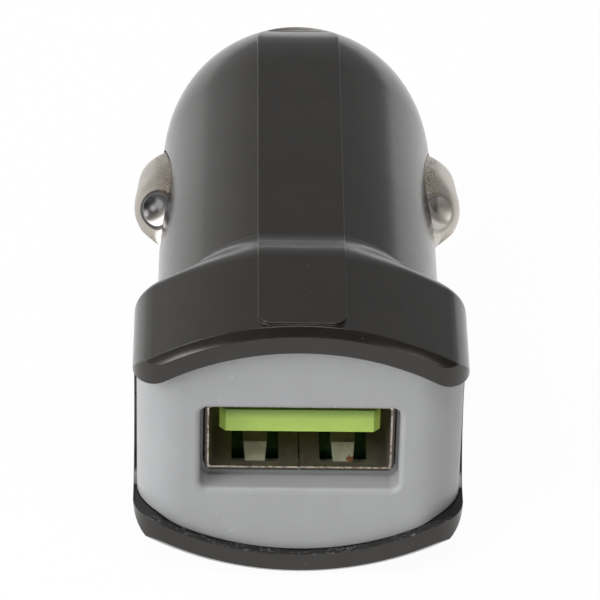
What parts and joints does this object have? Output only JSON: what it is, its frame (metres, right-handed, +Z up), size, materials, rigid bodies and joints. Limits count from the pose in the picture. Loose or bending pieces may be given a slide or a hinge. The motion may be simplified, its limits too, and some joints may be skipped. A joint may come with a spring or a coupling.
{
  "type": "car usb charger plug",
  "caption": "Car charger plug: round barrel with sprung side contacts and sprung nose contact, flared head with lips over a grey face that holds a USB port.",
  "frame": {"origin": "on the plug axis, on the straight barrel just clear of the flared head", "axes": "+Y along the plug axis towards the nose, +Z up on the side of the raised strip, +X to the right seen from the grey face"},
  "size_m": [0.024, 0.047, 0.0214],
  "materials": {
    "housing": "satin black moulding",
    "fascia": "light grey, fine satin",
    "port_nickel": "nickel-plated sheet",
    "port_green": "green moulding",
    "port_gold": "flash gold",
    "board": "green solder mask",
    "chip": "black epoxy",
    "ferrite": "dark ferrite",
    "copper": "enamelled copper",
    "can": "bare can",
    "resistor": "coated ceramic",
    "ceramic": "tan ceramic",
    "side_nickel": "worn nickel plate",
    "tip_nickel": "turned nickel plate",
    "ring_nickel": "nickel plate",
    "spring_steel": "drawn wire"
  },
  "bodies": {
    "plug": {"upper_shell": "housing", "lower_shell": "housing", "front_fascia": "fascia", "usb_shell": "port_nickel", "usb_insulator": "port_green", "usb_contact_1": "port_gold", "usb_contact_2": "port_gold", "usb_contact_3": "port_gold", "usb_contact_4": "port_gold", "circuit_board": "board", "converter_chip": "chip", "port_chip": "chip", "rectifier_diode": "chip", "inductor_core": "ferrite", "inductor_winding": "copper", "input_capacitor": "can", "output_capacitor": "can", "chip_resistors": "resistor", "chip_capacitors": "ceramic", "nose_ring": "ring_nickel", "tip_spring": "spring_steel", "spring_terminal": "port_nickel"},
    "tip": {"tip_contact": "tip_nickel"},
    "left_side": {"left_contact": "side_nickel"},
    "right_side": {"right_contact": "side_nickel"}
  },
  "joints": [
    {"name": "tip_plunge", "type": "slide", "parent": "plug", "child": "tip", "axis": [0, -1, 0], "range_m": [0, 0.0025], "stiffness_N_per_m": 1500, "springref_m": -0.001, "deforming": ["tip_spring"]},
    {"name": "left_contact_press", "type": "slide", "parent": "plug", "child": "left_side", "axis": [1, 0, 0], "range_m": [0, 0.00175], "stiffness_N_per_m": 2000, "springref_m": -0.0005},
    {"name": "right_contact_press", "type": "slide", "parent": "plug", "child": "right_side", "axis": [-1, 0, 0], "range_m": [0, 0.00175], "stiffness_N_per_m": 2000, "springref_m": -0.0005}
  ]
}
